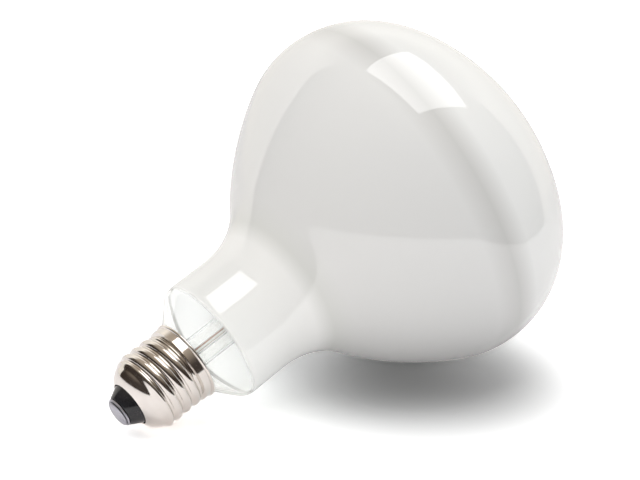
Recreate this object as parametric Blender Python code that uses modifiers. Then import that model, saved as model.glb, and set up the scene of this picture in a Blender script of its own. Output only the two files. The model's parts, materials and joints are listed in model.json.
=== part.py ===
# Reflector photoflood lamp with a screw cap, lying on its side as it comes to rest on a table.
# Each piece is turned or bent about the lamp's own axis, local +Z from the cap to the dome, with
# height 0 at the cap's rim. One empty then lays the whole lamp on the floor, with the seam side down.

import math

import bpy
import bmesh

for old in list(bpy.data.objects):
    bpy.data.objects.remove(old, do_unlink=True)

# Bulb, outside sizes
GLOBE_RADIUS = 0.0625
GLOBE_HEIGHT = 0.0957
EDGE_RADIUS = 0.0336
DOME_RADIUS = 0.0774
BOWL_RADIUS = 0.118
EDGE_SWEEP = math.radians(28.5)
FLARE_RADIUS = 0.0293
NECK_RADIUS = 0.0212
SHOULDER_RADIUS = 0.005
SHOULDER_SLOPE = math.radians(46.7)
SEAL_DEPTH = 0.006
BULB_WALL = 0.001

# Cap shell: a drawn skirt, rolled thread and curled-in end
SHEET = 0.0003
SKIRT_STEP = 0.0001
SKIRT_LENGTH = 0.0041
BEAD_RADIUS = 0.0005
THREAD_RADIUS = 0.0131
THREAD_PITCH = 0.00363
CREST_ROUND = 0.0016
ROOT_ROUND = 0.00055
THREAD_PHASE = -0.0058
THREAD_FADE = 0.0016
THREAD_END_FADE = 0.0026
THREAD_END = 0.0036
SHELL_LENGTH = 0.0230
SHELL_END_ROUND = 0.0075
SHELL_END_SWEEP = math.radians(67.2)

# Cap insulator, contact and solder
INSULATOR_TIP_RADIUS = 0.0051
INSULATOR_LENGTH = 0.0037
CONTACT_RADIUS = 0.0049
CONTACT_THICKNESS = 0.0005
CONTACT_HOLE_RADIUS = 0.0011
SOLDER_RADIUS = 0.0043
SOLDER_HEIGHT = 0.0008
SOLDER_FLAT_RADIUS = 0.001
RIM_SOLDER_RADIUS = 0.0008
CEMENT_WALL = 0.0011
RIM_CLEARANCE = 0.0009

# Stem
STEM_RADIUS = 0.0051
STEM_WALL = 0.0009
STEM_HEIGHT = 0.028
PRESS_WIDTH = 0.013
PRESS_THICKNESS = 0.0042
PRESS_HEIGHT = 0.012
EXHAUST_RADIUS = 0.00125
EXHAUST_WALL = 0.0004
EXHAUST_TIP_CLEARANCE = 0.003
LEAD_RADIUS = 0.00025
SUPPORT_RADIUS = 0.0006
LEAD_AZIMUTH = math.radians(42.0)

# Halogen capsule
CAPSULE_RADIUS = 0.0065
CAPSULE_WALL = 0.0011
CAPSULE_LENGTH = 0.026
CAPSULE_TIP_RADIUS = 0.0012
CAPSULE_TIP_LENGTH = 0.0022
PINCH_WIDTH = 0.0125
PINCH_THICKNESS = 0.0034
PINCH_HEIGHT = 0.010
FOIL_EDGE = 0.00175
FOIL_WIDTH = 0.0022
FOIL_HEIGHT = 0.005
FOIL_THICKNESS = 0.0001
PIN_RADIUS = 0.0005
PIN_LENGTH = 0.007
PIN_CLEARANCE = 0.005
COIL_RADIUS = 0.0012
COIL_MARGIN = 0.0005
COIL_TURNS = 7
COIL_RISE = 0.013
FILAMENT_RADIUS = 0.00016

# Clearance kept between pieces that touch
GAP = 0.0003

# Facets round each turned piece
BULB_SIDES = 52
CAP_SIDES = 36
SMALL_SIDES = 24
WIRE_SIDES = 8
COIL_SIDES = 7
SOLDER_STEPS = 4
MERGE = 0.00001

# The frame of the whole lamp, and where its pieces and cutters are kept
lamp = bpy.data.collections.new("reflector_lamp")
cutters = bpy.data.collections.new("cutters")
bpy.context.scene.collection.children.link(lamp)
bpy.context.scene.collection.children.link(cutters)
axis = bpy.data.objects.new("lamp_axis", None)
lamp.objects.link(axis)


def finish(name, colour, roughness, metallic=0.0, transmission=0.0):
    material = bpy.data.materials.new(name)
    material.use_nodes = True
    shader = material.node_tree.nodes["Principled BSDF"]
    shader.inputs["Base Color"].default_value = (*colour, 1.0)
    shader.inputs["Roughness"].default_value = roughness
    shader.inputs["Metallic"].default_value = metallic
    shader.inputs["Transmission Weight"].default_value = transmission
    material.diffuse_color = (*colour, 1.0)
    return material


def add_object(name, data, material, collection=lamp):
    piece = bpy.data.objects.new(name, data)
    collection.objects.link(piece)
    piece.parent = axis
    if material:
        piece.data.materials.append(material)
    return piece


def arc(centre, radius, start, end, steps):
    """Points (radius, height) on an arc about centre, with angles measured from the radial direction."""
    points = []
    for step in range(steps + 1):
        angle = start + (end - start) * step / steps
        points.append((centre[0] + radius * math.cos(angle), centre[1] + radius * math.sin(angle)))
    return points


def shade(piece, limit=50.0):
    piece.data.shade_smooth()
    piece.data.set_sharp_from_angle(angle=math.radians(limit))


def turned(name, outline, material, sides, closed=False, collection=lamp):
    """Turn an outline of (radius, height) points about the lamp axis. A facet faces local +X."""
    mesh = bpy.data.meshes.new(name)
    edges = [(i, i + 1) for i in range(len(outline) - 1)]
    if closed:
        edges.append((len(outline) - 1, 0))
    mesh.from_pydata([(r, 0.0, z) for r, z in outline], edges, [])
    piece = add_object(name, mesh, material, collection)
    piece.rotation_euler.z = math.pi / sides
    screw = piece.modifiers.new("turn", "SCREW")
    screw.axis = "Z"
    screw.steps = sides
    screw.render_steps = sides
    screw.use_merge_vertices = True
    screw.merge_threshold = MERGE
    screw.use_smooth_shade = True
    return piece


def walled(piece, thickness):
    wall = piece.modifiers.new("wall", "SOLIDIFY")
    wall.thickness = thickness
    wall.offset = -1.0
    return piece


def as_mesh(piece):
    """Replace a piece's modifiers or curve by the mesh that they make, with its loose caps welded."""
    bpy.context.view_layer.update()
    evaluated = piece.evaluated_get(bpy.context.evaluated_depsgraph_get())
    mesh = bpy.data.meshes.new_from_object(evaluated)
    mesh.name = piece.name
    solid = bmesh.new()
    solid.from_mesh(mesh)
    bmesh.ops.remove_doubles(solid, verts=solid.verts, dist=MERGE)
    solid.to_mesh(mesh)
    solid.free()
    name = piece.name
    collection = piece.users_collection[0]
    turn = piece.rotation_euler.copy()
    place = piece.location.copy()
    bpy.data.objects.remove(piece, do_unlink=True)
    fresh = add_object(name, mesh, None, collection)
    fresh.rotation_euler = turn
    fresh.location = place
    return fresh


def wire(name, points, radius, material):
    """A round wire along straight runs between points, with filled ends."""
    curve = bpy.data.curves.new(name, "CURVE")
    curve.dimensions = "3D"
    curve.bevel_depth = radius
    curve.bevel_resolution = WIRE_SIDES // 2 - 2
    curve.use_fill_caps = True
    spline = curve.splines.new("POLY")
    spline.points.add(len(points) - 1)
    for point, place in zip(spline.points, points):
        point.co = (*place, 1.0)
    return add_object(name, curve, material)


def block(name, centre, size, turn=0.0, bevel=0.0, material=None, collection=cutters):
    """A box with rounded edges, about the lamp axis turned by an angle."""
    mesh = bpy.data.meshes.new(name)
    shape = bmesh.new()
    bmesh.ops.create_cube(shape, size=1.0)
    bmesh.ops.scale(shape, vec=size, verts=shape.verts)
    bmesh.ops.translate(shape, vec=centre, verts=shape.verts)
    if bevel:
        bmesh.ops.bevel(shape, geom=shape.edges, offset=bevel, segments=2, profile=0.5, affect="EDGES")
    shape.to_mesh(mesh)
    shape.free()
    piece = add_object(name, mesh, material, collection)
    piece.rotation_euler.z = turn
    return piece


def drill(name, x, low, high, radius, turn):
    """A round cutter along the lamp axis, at a distance x from it."""
    mesh = bpy.data.meshes.new(name)
    shape = bmesh.new()
    bmesh.ops.create_cone(
        shape, cap_ends=True, segments=10, radius1=radius, radius2=radius, depth=high - low)
    bmesh.ops.translate(shape, vec=(x, 0.0, (low + high) / 2), verts=shape.verts)
    shape.to_mesh(mesh)
    shape.free()
    piece = add_object(name, mesh, None, cutters)
    piece.rotation_euler.z = turn
    return piece


def combine(piece, other, operation):
    other.hide_render = True
    other.display_type = "WIRE"
    step = piece.modifiers.new(other.name, "BOOLEAN")
    step.operation = operation
    step.object = other


# Radii that the cap and the bulb share. The bulb's seal stands in the shell with a wall of cement
# round it, and its shoulder clears the shell's rim
thread_reach = CREST_ROUND + ROOT_ROUND
thread_depth = thread_reach - math.sqrt(thread_reach ** 2 - (THREAD_PITCH / 2) ** 2)
thread_root = THREAD_RADIUS - thread_depth
skirt_radius = THREAD_RADIUS + SKIRT_STEP
skirt_inside = skirt_radius - SHEET
root_inside = thread_root - SHEET
seal_radius = root_inside - CEMENT_WALL
cone_at_rim = skirt_inside - RIM_CLEARANCE

# Glass bulb: one blown piece, from a straight seal through a shoulder, a long neck, a concave flare
# and a bowl to the rounded edge and the shallow dome
edge_centre = (GLOBE_RADIUS - EDGE_RADIUS, GLOBE_HEIGHT)
dome_height = GLOBE_HEIGHT - math.sqrt((DOME_RADIUS - EDGE_RADIUS) ** 2 - edge_centre[0] ** 2)
dome_angle = math.atan2(GLOBE_HEIGHT - dome_height, edge_centre[0])
bowl_centre = (
    edge_centre[0] - (BOWL_RADIUS - EDGE_RADIUS) * math.cos(EDGE_SWEEP),
    edge_centre[1] + (BOWL_RADIUS - EDGE_RADIUS) * math.sin(EDGE_SWEEP),
)
flare_reach = BOWL_RADIUS + FLARE_RADIUS
flare_angle = math.acos((NECK_RADIUS + FLARE_RADIUS - bowl_centre[0]) / flare_reach)
flare_centre = (NECK_RADIUS + FLARE_RADIUS, bowl_centre[1] - flare_reach * math.sin(flare_angle))
shoulder_foot = NECK_RADIUS - SHOULDER_RADIUS * (1 - math.cos(SHOULDER_SLOPE))
shoulder_height = (shoulder_foot - cone_at_rim) / math.tan(SHOULDER_SLOPE)
shoulder_centre = (
    NECK_RADIUS - SHOULDER_RADIUS,
    shoulder_height + SHOULDER_RADIUS * math.sin(SHOULDER_SLOPE),
)
cone_foot = (seal_radius - cone_at_rim) / math.tan(SHOULDER_SLOPE)

bulb_outline = arc((0.0, dome_height), DOME_RADIUS, math.pi / 2, dome_angle, 5)
bulb_outline += arc(edge_centre, EDGE_RADIUS, dome_angle, -EDGE_SWEEP, 6)[1:]
bulb_outline += arc(bowl_centre, BOWL_RADIUS, -EDGE_SWEEP, -flare_angle, 3)[1:]
bulb_outline += arc(flare_centre, FLARE_RADIUS, math.pi - flare_angle, math.pi, 4)[1:]
bulb_outline += arc(shoulder_centre, SHOULDER_RADIUS, 0.0, -SHOULDER_SLOPE, 3)
bulb_outline += [(seal_radius, cone_foot), (seal_radius, -SEAL_DEPTH)]

glass = finish("coated_glass", (0.86, 0.85, 0.82), 0.12)
envelope = walled(turned("glass_envelope", bulb_outline, glass, BULB_SIDES), BULB_WALL)
shade(envelope)

# Cap shell: a turned sheet with a beaded rim, a plain skirt and a curled-in end. Its thread is rolled
# into it: broad round crests and narrow round roots, which run out into the skirt and the curled end
plated = finish("plated_brass", (0.82, 0.80, 0.77), 0.16, 1.0)
thread_top = -SKIRT_LENGTH
thread_foot = THREAD_END - SHELL_LENGTH
end_centre = (thread_root - SHELL_END_ROUND, SHELL_END_ROUND * math.sin(SHELL_END_SWEEP) - SHELL_LENGTH)


def thread_height(turn):
    """How far the thread stands above its root, at a part of a turn counted from a crest."""
    along = abs(turn - round(turn)) * THREAD_PITCH
    if along < CREST_ROUND / thread_reach * THREAD_PITCH / 2:
        return thread_depth - CREST_ROUND + math.sqrt(CREST_ROUND ** 2 - along ** 2)
    along = THREAD_PITCH / 2 - along
    return ROOT_ROUND - math.sqrt(ROOT_ROUND ** 2 - along ** 2)


def run_out(height):
    """1 along the thread, falling smoothly to 0 where it meets the skirt and the shell's end."""
    inside = min((thread_top - height) / THREAD_FADE, (height - thread_foot) / THREAD_END_FADE)
    inside = min(max(inside, 0.0), 1.0)
    return inside * inside * (3 - 2 * inside)


def end_angle(height, radius):
    """The angle at which an arc about the end's centre reaches a height, below the straight part."""
    return math.asin(max(end_centre[1] - height, 0.0) / radius)


def shell_radius(height):
    """Radius of the shell under its thread: straight, then drawn in along the end's arc."""
    return end_centre[0] + SHELL_END_ROUND * math.cos(end_angle(height, SHELL_END_ROUND))


thread_rows = 7 * round((thread_top - thread_foot) / THREAD_PITCH)
bead_centre = (skirt_radius, -BEAD_RADIUS)
shell_outline = [(skirt_radius - BEAD_RADIUS / 2, 0.0)]
shell_outline += arc(bead_centre, BEAD_RADIUS, math.pi / 2, -math.pi / 3, 3)
shell_outline += [(skirt_radius, -3 * BEAD_RADIUS), (skirt_radius, thread_top + ROOT_ROUND)]
for row in range(thread_rows + 1):
    row_height = thread_top + (thread_foot - thread_top) * row / thread_rows
    shell_outline.append((shell_radius(row_height), row_height))
shell_outline += arc(
    end_centre, SHELL_END_ROUND, -end_angle(thread_foot, SHELL_END_ROUND), -SHELL_END_SWEEP, 4)[1:]
mouth_radius = shell_outline[-1][0]

shell = as_mesh(turned("cap_shell", shell_outline, plated, CAP_SIDES))
for vertex in shell.data.vertices:
    if thread_foot < vertex.co.z < thread_top:
        radius = math.hypot(vertex.co.x, vertex.co.y)
        angle = math.atan2(vertex.co.y, vertex.co.x) + math.pi / CAP_SIDES
        crest = THREAD_PHASE + THREAD_PITCH * angle / (2 * math.pi)
        rise = thread_height((vertex.co.z - crest) / THREAD_PITCH) * run_out(vertex.co.z)
        vertex.co.x *= (radius + rise) / radius
        vertex.co.y *= (radius + rise) / radius
walled(shell, SHEET)
shade(shell, 70.0)

# Insulator: black glass moulded into the shell's end, with a hole for the lead
black_glass = finish("black_glass", (0.012, 0.012, 0.014), 0.08)
end_inside = SHELL_END_ROUND - SHEET - GAP
insulator_foot = -SHELL_LENGTH - INSULATOR_LENGTH
mouth_inside = mouth_radius - SHEET * math.cos(SHELL_END_SWEEP) - GAP
insulator_outline = [(CONTACT_HOLE_RADIUS, thread_foot)]
insulator_outline += arc(
    end_centre, end_inside, -end_angle(thread_foot, end_inside), -SHELL_END_SWEEP, 4)
insulator_outline += [
    (mouth_inside, -SHELL_LENGTH + SHEET * math.sin(SHELL_END_SWEEP)),
    (mouth_inside, -SHELL_LENGTH - SHEET / 2),
    (INSULATOR_TIP_RADIUS, insulator_foot),
    (CONTACT_HOLE_RADIUS, insulator_foot),
]
insulator = turned("cap_insulator", insulator_outline, black_glass, CAP_SIDES, closed=True)
shade(insulator)

# Centre contact: a pressed brass disc under the insulator, and the solder that closes its hole. The
# solder has a small flat at its tip, where it meets the contact spring of a lampholder
contact_top = insulator_foot - GAP
contact_foot = contact_top - CONTACT_THICKNESS
contact_outline = [
    (CONTACT_HOLE_RADIUS, contact_top),
    (CONTACT_RADIUS, contact_top),
    (CONTACT_RADIUS, contact_foot + CONTACT_THICKNESS / 2),
    (CONTACT_RADIUS - CONTACT_THICKNESS / 2, contact_foot),
    (CONTACT_HOLE_RADIUS, contact_foot),
]
contact = turned("centre_contact", contact_outline, plated, SMALL_SIDES, closed=True)
shade(contact)

solder = finish("solder", (0.55, 0.55, 0.60), 0.35, 1.0)
solder_top = contact_foot - GAP
solder_outline = [(0.0, solder_top)]
for step in range(SOLDER_STEPS + 1):
    angle = math.pi / 2 * step / SOLDER_STEPS
    solder_outline.append((
        SOLDER_FLAT_RADIUS + (SOLDER_RADIUS - SOLDER_FLAT_RADIUS) * math.cos(angle),
        solder_top - SOLDER_HEIGHT * math.sin(angle),
    ))
solder_outline.append((0.0, solder_top - SOLDER_HEIGHT))
centre_solder = turned("centre_solder", solder_outline, solder, SMALL_SIDES)
shade(centre_solder)

# Basing cement: a ring between the bulb's seal and the shell, with a notch for the side lead
cement = finish("basing_cement", (0.55, 0.47, 0.38), 0.85)
cement_inside = seal_radius + GAP
cement_outside = root_inside - GAP
cement_top = cone_foot - GAP
lead_channel = (seal_radius + root_inside) / 2
cement_outline = [
    (skirt_inside - GAP, cement_top),
    (skirt_inside - GAP, thread_top + 2 * ROOT_ROUND),
    (cement_outside, thread_top + ROOT_ROUND),
    (cement_outside, -SEAL_DEPTH),
    (cement_inside, -SEAL_DEPTH),
    (cement_inside, cement_top),
]
basing = turned("basing_cement", cement_outline, cement, CAP_SIDES, closed=True)
notch = block(
    "cement_notch",
    (lead_channel, 0.0, -SEAL_DEPTH / 2),
    (2 * (skirt_radius - seal_radius), 2 * (LEAD_RADIUS + GAP), 2 * SEAL_DEPTH),
    LEAD_AZIMUTH,
)
combine(basing, notch, "DIFFERENCE")

# Stem: a glass tube flared at its foot to meet the bulb's seal, closed at its top in a flat press
# that holds the wires
clear_glass = finish("clear_glass", (0.93, 0.94, 0.92), 0.02, 0.0, 1.0)
flare_edge = seal_radius - BULB_WALL - GAP
flare_sweep = flare_edge - STEM_RADIUS
flare_start = flare_sweep + STEM_WALL - SEAL_DEPTH
flare_centre_line = (flare_edge, flare_start)
stem_inside = STEM_RADIUS - STEM_WALL
lead_spread = (EXHAUST_RADIUS + stem_inside) / 2
stem_outline = [(0.0, STEM_HEIGHT), (STEM_RADIUS, STEM_HEIGHT)]
stem_outline += arc(flare_centre_line, flare_sweep, math.pi, 1.5 * math.pi, 5)
stem_outline += arc(flare_centre_line, flare_sweep + STEM_WALL, 1.5 * math.pi, math.pi, 5)
stem_outline += [
    (stem_inside, STEM_HEIGHT - STEM_WALL),
    (0.0, STEM_HEIGHT - STEM_WALL),
]
stem = as_mesh(turned("glass_stem", stem_outline, clear_glass, SMALL_SIDES))
press_top = STEM_HEIGHT + PRESS_HEIGHT
press = block(
    "press",
    (0.0, 0.0, STEM_HEIGHT + PRESS_HEIGHT / 2 - STEM_WALL / 4),
    (PRESS_WIDTH, PRESS_THICKNESS, PRESS_HEIGHT + STEM_WALL / 2),
    LEAD_AZIMUTH - math.pi / SMALL_SIDES,
    PRESS_THICKNESS / 4,
)
combine(stem, press, "UNION")
wire_joint = STEM_HEIGHT + PRESS_HEIGHT / 2
sides = {"centre": -1.0, "side": 1.0}
for side_name, side in sides.items():
    lead_bore = drill(
        side_name + "_lead_bore", side * lead_spread, STEM_HEIGHT - 2 * STEM_WALL, wire_joint,
        LEAD_RADIUS + GAP, LEAD_AZIMUTH)
    support_bore = drill(
        side_name + "_support_bore", side * lead_spread, wire_joint - GAP, press_top + GAP,
        SUPPORT_RADIUS + GAP, LEAD_AZIMUTH)
    combine(stem, lead_bore, "DIFFERENCE")
    combine(stem, support_bore, "DIFFERENCE")
shade(stem, 40.0)

# Exhaust tube: the thin tube in the stem by which the bulb was pumped, drawn off to a tip in the cap
exhaust_top = STEM_HEIGHT - STEM_WALL - GAP
exhaust_bore = EXHAUST_RADIUS - EXHAUST_WALL
exhaust_tip = thread_foot + EXHAUST_TIP_CLEARANCE
exhaust_outline = [(EXHAUST_RADIUS, exhaust_top), (EXHAUST_RADIUS, exhaust_tip + 2 * EXHAUST_RADIUS)]
exhaust_outline += [(EXHAUST_RADIUS / 2, exhaust_tip + EXHAUST_RADIUS / 2), (0.0, exhaust_tip)]
exhaust_outline += [(0.0, exhaust_tip + 2 * EXHAUST_WALL), (exhaust_bore, exhaust_tip + 2 * EXHAUST_RADIUS)]
exhaust_outline += [(exhaust_bore, exhaust_top), (EXHAUST_RADIUS, exhaust_top)]
exhaust = turned("exhaust_tube", exhaust_outline, clear_glass, 12)
shade(exhaust)


def at_lead(x, height, y=0.0):
    """A point in the plane of the two wires, x away from the lamp axis."""
    c = math.cos(LEAD_AZIMUTH)
    s = math.sin(LEAD_AZIMUTH)
    return (x * c - y * s, x * s + y * c, height)


# Leads: bare copper from the press through the stem, one down to the centre contact, the other out
# past the seal and up to the rim of the shell
copper = finish("copper_wire", (0.72, 0.42, 0.28), 0.3, 1.0)
lead_top = wire_joint - GAP
hole_top = thread_foot + 2 * GAP
wire("centre_lead", [
    at_lead(-lead_spread, lead_top),
    at_lead(-lead_spread, -SEAL_DEPTH),
    at_lead(-lead_spread, exhaust_tip),
    at_lead(-lead_spread / 2, exhaust_tip - 2 * GAP),
    at_lead(0.0, hole_top - 2 * GAP),
    at_lead(0.0, contact_foot + CONTACT_THICKNESS / 2),
], LEAD_RADIUS, copper)
channel_foot = -SEAL_DEPTH - 3 * GAP
cone_clearance = 2 * GAP
bend_radius = lead_channel
bend_height = cone_foot - 2 * cone_clearance * math.cos(SHOULDER_SLOPE)
rim_radius = skirt_inside - GAP - LEAD_RADIUS
rim_height = bend_height + (rim_radius - bend_radius) / math.tan(SHOULDER_SLOPE)
wire("side_lead", [
    at_lead(lead_spread, lead_top),
    at_lead(lead_spread, -SEAL_DEPTH),
    at_lead(1.6 * lead_spread, channel_foot - 2 * LEAD_RADIUS),
    at_lead(lead_channel - lead_spread / 2, channel_foot - 2 * LEAD_RADIUS),
    at_lead(lead_channel, channel_foot),
    at_lead(bend_radius, bend_height),
    at_lead(rim_radius, rim_height),
    at_lead(rim_radius, -GAP),
], LEAD_RADIUS, copper)

# Rim solder: the drop that joins the side lead to the rim of the shell
bead = bmesh.new()
bmesh.ops.create_uvsphere(bead, u_segments=12, v_segments=6, radius=RIM_SOLDER_RADIUS)
bmesh.ops.scale(bead, vec=(0.75, 1.4, 0.6), verts=bead.verts)
rim_solder_mesh = bpy.data.meshes.new("rim_solder")
bead.to_mesh(rim_solder_mesh)
bead.free()
rim_solder = add_object("rim_solder", rim_solder_mesh, solder)
rim_solder.location = at_lead(skirt_radius + BEAD_RADIUS, GAP + 0.6 * RIM_SOLDER_RADIUS)
rim_solder.rotation_euler.z = LEAD_AZIMUTH
shade(rim_solder)

# Support wires: stiff nickel rods from the press to the pins of the capsule
nickel = finish("nickel_wire", (0.70, 0.68, 0.65), 0.25, 1.0)
pin_spread = PINCH_WIDTH / 2 - FOIL_EDGE - FOIL_WIDTH / 2
pin_foot = press_top + PIN_CLEARANCE
pinch_foot = pin_foot + PIN_LENGTH
capsule_base = pinch_foot + PINCH_HEIGHT
support_reach = pin_spread + PIN_RADIUS + SUPPORT_RADIUS + GAP
support_top = pinch_foot - GAP
for side_name, side in sides.items():
    wire(side_name + "_support_wire", [
        at_lead(side * lead_spread, wire_joint + GAP),
        at_lead(side * lead_spread, pin_foot - PIN_LENGTH / 2),
        at_lead(side * support_reach, pin_foot - PIN_LENGTH / 6),
        at_lead(side * support_reach, support_top),
    ], SUPPORT_RADIUS, nickel)

# Halogen capsule: a thick quartz tube with a pumping tip at its top and a flat pinch at its foot
quartz = finish("quartz", (0.95, 0.95, 0.96), 0.02, 0.0, 1.0)
capsule_round = CAPSULE_RADIUS * 0.8
capsule_top = capsule_base + CAPSULE_LENGTH
capsule_inside = CAPSULE_RADIUS - CAPSULE_WALL
tip_top = capsule_top + CAPSULE_TIP_LENGTH
capsule_outline = [(0.0, tip_top), (CAPSULE_TIP_RADIUS, capsule_top + CAPSULE_TIP_LENGTH / 3)]
capsule_outline += arc(
    (CAPSULE_RADIUS - capsule_round, capsule_top - capsule_round), capsule_round,
    math.radians(70.0), 0.0, 3)
capsule_outline += [(CAPSULE_RADIUS, capsule_base), (0.0, capsule_base)]
capsule_core = [
    (0.0, capsule_top - CAPSULE_WALL),
    (capsule_inside - capsule_round / 2, capsule_top - CAPSULE_WALL - capsule_round / 6),
    (capsule_inside, capsule_top - capsule_round),
    (capsule_inside, capsule_base + CAPSULE_WALL),
    (0.0, capsule_base + CAPSULE_WALL),
]
capsule = as_mesh(turned("capsule_bulb", capsule_outline, quartz, SMALL_SIDES))
pinch = block(
    "pinch",
    (0.0, 0.0, capsule_base - PINCH_HEIGHT / 2 + CAPSULE_WALL / 4),
    (PINCH_WIDTH, PINCH_THICKNESS, PINCH_HEIGHT + CAPSULE_WALL / 2),
    LEAD_AZIMUTH - math.pi / SMALL_SIDES,
    PINCH_THICKNESS / 5,
)
combine(capsule, pinch, "UNION")
cavity = turned("capsule_cavity", capsule_core, None, SMALL_SIDES, collection=cutters)
combine(capsule, cavity, "DIFFERENCE")
foil_centre = capsule_base - PINCH_HEIGHT / 2
foil_top = foil_centre + FOIL_HEIGHT / 2
foil_foot = foil_centre - FOIL_HEIGHT / 2
for side_name, side in sides.items():
    pocket = block(
        side_name + "_foil_pocket",
        (side * pin_spread, 0.0, foil_centre),
        (FOIL_WIDTH + 2 * GAP, FOIL_THICKNESS + 2 * GAP, FOIL_HEIGHT + 2 * GAP),
        LEAD_AZIMUTH,
    )
    pin_bore = drill(
        side_name + "_pin_bore", side * pin_spread, pinch_foot - GAP, foil_foot, PIN_RADIUS + GAP,
        LEAD_AZIMUTH)
    leg_bore = drill(
        side_name + "_leg_bore", side * pin_spread, foil_top, capsule_base + 2 * CAPSULE_WALL,
        FILAMENT_RADIUS + GAP, LEAD_AZIMUTH)
    combine(capsule, pocket, "DIFFERENCE")
    combine(capsule, pin_bore, "DIFFERENCE")
    combine(capsule, leg_bore, "DIFFERENCE")
shade(capsule, 40.0)

# Foils and pins: molybdenum foil sealed in the pinch, and the pin that leaves it
molybdenum = finish("molybdenum", (0.45, 0.44, 0.43), 0.3, 1.0)
for side_name, side in sides.items():
    block(
        side_name + "_foil",
        (side * pin_spread, 0.0, foil_centre),
        (FOIL_WIDTH, FOIL_THICKNESS, FOIL_HEIGHT),
        LEAD_AZIMUTH, 0.0, molybdenum, lamp)
    wire(side_name + "_pin", [
        at_lead(side * pin_spread, pin_foot),
        at_lead(side * pin_spread, foil_foot - GAP),
    ], PIN_RADIUS, molybdenum)

# Filament: a tungsten coil across the capsule, on two legs that stand on the foils
tungsten = finish("tungsten", (0.35, 0.34, 0.33), 0.45, 1.0)
coil_height = capsule_base + COIL_RISE
coil_length = 2 * (pin_spread - COIL_MARGIN)
coil_foot = coil_height - COIL_RADIUS
coil_points = [at_lead(-pin_spread, foil_top + GAP), at_lead(-pin_spread, coil_foot)]
coil_steps = COIL_SIDES * COIL_TURNS
for step in range(coil_steps + 1):
    turn = 2 * math.pi * step / COIL_SIDES
    along = coil_length * (step / coil_steps - 0.5)
    coil_points.append(at_lead(
        along, coil_height - COIL_RADIUS * math.cos(turn), COIL_RADIUS * math.sin(turn)))
coil_points += [at_lead(pin_spread, coil_foot), at_lead(pin_spread, foil_top + GAP)]
wire("filament", coil_points, FILAMENT_RADIUS, tungsten)

# Lay the lamp down: it rests on the edge of the bulb and on the first point of the cap that meets the
# floor with it, so the floor is a tangent of the edge's round through that point


def lay_on(radius, height):
    """The axis's rise above level when the bulb's edge and a point of the cap touch the floor."""
    rise = edge_centre[1] - height
    spread = edge_centre[0] - radius
    return math.acos(-EDGE_RADIUS / math.hypot(rise, spread)) - math.atan2(rise, spread)


shell_points = [shell.matrix_basis @ vertex.co for vertex in shell.data.vertices]
lay_angle = min(lay_on(point.x, point.z) for point in shell_points if point.x > mouth_radius)
lay_angle = min(lay_angle, lay_on(INSULATOR_TIP_RADIUS, insulator_foot))
floor_depth = edge_centre[0] * math.cos(lay_angle) - edge_centre[1] * math.sin(lay_angle) + EDGE_RADIUS
dome_reach = dome_height * math.cos(lay_angle) + DOME_RADIUS
cap_reach = contact_foot * math.cos(lay_angle) - CONTACT_RADIUS * math.sin(lay_angle)
axis.rotation_euler.y = math.pi / 2 - lay_angle
axis.location.x = -(dome_reach + cap_reach) / 2
axis.location.z = floor_depth
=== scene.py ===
# A reflector photoflood lamp on a white table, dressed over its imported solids. The sections follow
# the lamp as it is put together, from the stem to the solder on its cap.
import json
import math

import bmesh
import bpy
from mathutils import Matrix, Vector


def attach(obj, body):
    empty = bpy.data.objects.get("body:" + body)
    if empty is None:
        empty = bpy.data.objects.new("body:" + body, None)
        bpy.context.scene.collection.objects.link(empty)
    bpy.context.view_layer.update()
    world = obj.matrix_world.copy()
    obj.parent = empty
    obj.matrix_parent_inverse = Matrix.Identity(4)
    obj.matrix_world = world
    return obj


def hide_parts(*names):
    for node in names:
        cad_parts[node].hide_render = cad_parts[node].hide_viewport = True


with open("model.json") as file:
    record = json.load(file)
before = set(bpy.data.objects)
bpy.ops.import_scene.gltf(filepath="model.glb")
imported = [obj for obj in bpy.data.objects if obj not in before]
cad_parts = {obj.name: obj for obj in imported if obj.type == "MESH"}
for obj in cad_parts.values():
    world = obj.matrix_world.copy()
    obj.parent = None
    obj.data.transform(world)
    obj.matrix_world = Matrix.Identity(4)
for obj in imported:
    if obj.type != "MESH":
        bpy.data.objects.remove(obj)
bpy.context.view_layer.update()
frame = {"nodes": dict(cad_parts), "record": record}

# Stem: a soft glass tube, flared at its foot where it is fused to the bulb and pressed flat at its
# top round the wires. It is drawn standing on the lamp's own axis, local +Z, from the rim of the cap
# at height 0, and is then laid over like every other piece.
STEM_RADIUS = 0.0051
STEM_WALL = 0.0009
STEM_HEIGHT = 0.028
STEM_FOOT = -0.006
FLARE_SWEEP = 0.0043
PRESS_HEIGHT = 0.012
PRESS_WIDTH = 0.013
PRESS_THICKNESS = 0.0042
LEAD_AZIMUTH = math.radians(42)
LEAD_SPREAD = 0.002725
LEAD_HOLE = 0.00055
SUPPORT_HOLE = 0.0009
screw_mount = frame["record"]["mounts"][0]
rim_place = Vector(screw_mount["pos_m"])
lamp_axis = -Vector(screw_mount["axis"])
lamp_tilt = math.atan2(lamp_axis.x, lamp_axis.z)


def start_outline(name, radius, height):
    """A new piece that is a single point at a radius and height, in edit mode."""
    bpy.ops.object.select_all(action="DESELECT")
    bpy.ops.mesh.primitive_plane_add(size=0.001, location=(0, 0, 0))
    piece = bpy.context.object
    piece.name = name
    piece.data.name = name
    bpy.ops.object.mode_set(mode="EDIT")
    bpy.ops.mesh.merge(type="CENTER")
    bpy.ops.transform.translate(value=(radius, 0, height))
    return piece


def draw_line(piece, radius, height, cuts=0):
    """Draw the outline on from its last point in a straight line."""
    drawn = bmesh.from_edit_mesh(piece.data)
    last = next(v.co.copy() for v in drawn.verts if v.select)
    for step in range(cuts + 1):
        bpy.ops.mesh.extrude_region_move(TRANSFORM_OT_translate={
            "value": ((radius - last.x) / (cuts + 1), 0, (height - last.z) / (cuts + 1))})


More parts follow.
